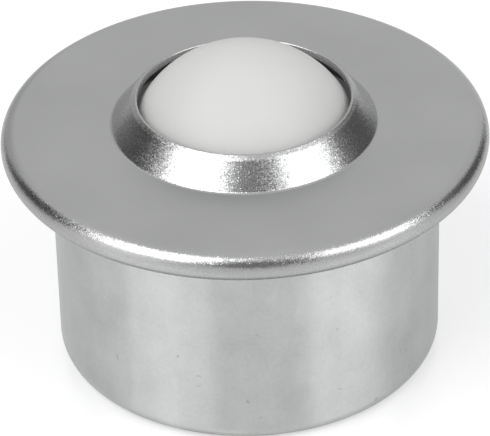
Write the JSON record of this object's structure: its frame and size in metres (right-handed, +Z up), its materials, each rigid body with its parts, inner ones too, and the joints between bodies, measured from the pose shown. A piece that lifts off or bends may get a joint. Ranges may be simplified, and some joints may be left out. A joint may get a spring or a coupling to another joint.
{
  "type": "ball transfer unit",
  "caption": "Drop-in ball transfer unit: a plastic load ball that rolls in any direction on a bed of steel balls in a flanged round steel housing.",
  "frame": {"origin": "centre of the housing's flat bottom face, which the unit stands on", "axes": "+Z up along the unit's axis, from the housing's floor to the top of the load ball; the unit is round, so +X and +Y are free"},
  "size_m": [0.045, 0.045, 0.0305],
  "materials": {
    "housing_steel": "bright zinc-plated drawn sheet steel, satin on the wall",
    "cover_steel": "bright zinc-plated drawn sheet steel with a fine orange-peel grain",
    "raceway_steel": "hardened and ground steel",
    "support_ball_steel": "polished bearing steel",
    "load_ball_plastic": "white plastic, satin"
  },
  "bodies": {
    "housing": {"housing": "housing_steel", "cover": "cover_steel", "raceway": "raceway_steel"},
    "ball_bed": {"support_ball_a1": "support_ball_steel", "support_ball_b1": "support_ball_steel", "support_ball_b2": "support_ball_steel", "support_ball_b3": "support_ball_steel", "support_ball_b4": "support_ball_steel", "support_ball_b5": "support_ball_steel", "support_ball_b6": "support_ball_steel", "support_ball_c1": "support_ball_steel", "support_ball_c2": "support_ball_steel", "support_ball_c3": "support_ball_steel", "support_ball_c4": "support_ball_steel", "support_ball_c5": "support_ball_steel", "support_ball_c6": "support_ball_steel", "support_ball_c7": "support_ball_steel", "support_ball_c8": "support_ball_steel", "support_ball_c9": "support_ball_steel", "support_ball_c10": "support_ball_steel", "support_ball_c11": "support_ball_steel", "support_ball_d1": "support_ball_steel", "support_ball_d2": "support_ball_steel", "support_ball_d3": "support_ball_steel", "support_ball_d4": "support_ball_steel", "support_ball_d5": "support_ball_steel", "support_ball_d6": "support_ball_steel", "support_ball_d7": "support_ball_steel", "support_ball_d8": "support_ball_steel", "support_ball_d9": "support_ball_steel", "support_ball_d10": "support_ball_steel", "support_ball_d11": "support_ball_steel", "support_ball_d12": "support_ball_steel", "support_ball_d13": "support_ball_steel", "support_ball_d14": "support_ball_steel", "support_ball_d15": "support_ball_steel", "support_ball_d16": "support_ball_steel", "support_ball_e1": "support_ball_steel", "support_ball_e2": "support_ball_steel", "support_ball_e3": "support_ball_steel", "support_ball_e4": "support_ball_steel", "support_ball_e5": "support_ball_steel", "support_ball_e6": "support_ball_steel", "support_ball_e7": "support_ball_steel", "support_ball_e8": "support_ball_steel", "support_ball_e9": "support_ball_steel", "support_ball_e10": "support_ball_steel", "support_ball_e11": "support_ball_steel", "support_ball_e12": "support_ball_steel", "support_ball_e13": "support_ball_steel", "support_ball_e14": "support_ball_steel", "support_ball_e15": "support_ball_steel", "support_ball_e16": "support_ball_steel", "support_ball_e17": "support_ball_steel", "support_ball_e18": "support_ball_steel", "support_ball_e19": "support_ball_steel"},
    "load_ball": {"load_ball": "load_ball_plastic"}
  },
  "joints": [
    {"name": "ball_bed_turn", "type": "hinge", "parent": "housing", "child": "ball_bed", "pos_m": [0, 0, 0.01939], "axis": [0, 0, 1], "continuous": true},
    {"name": "load_ball_roll", "type": "hinge", "parent": "ball_bed", "child": "load_ball", "pos_m": [0, 0, 0.01939], "axis": [0, 1, 0], "continuous": true}
  ]
}
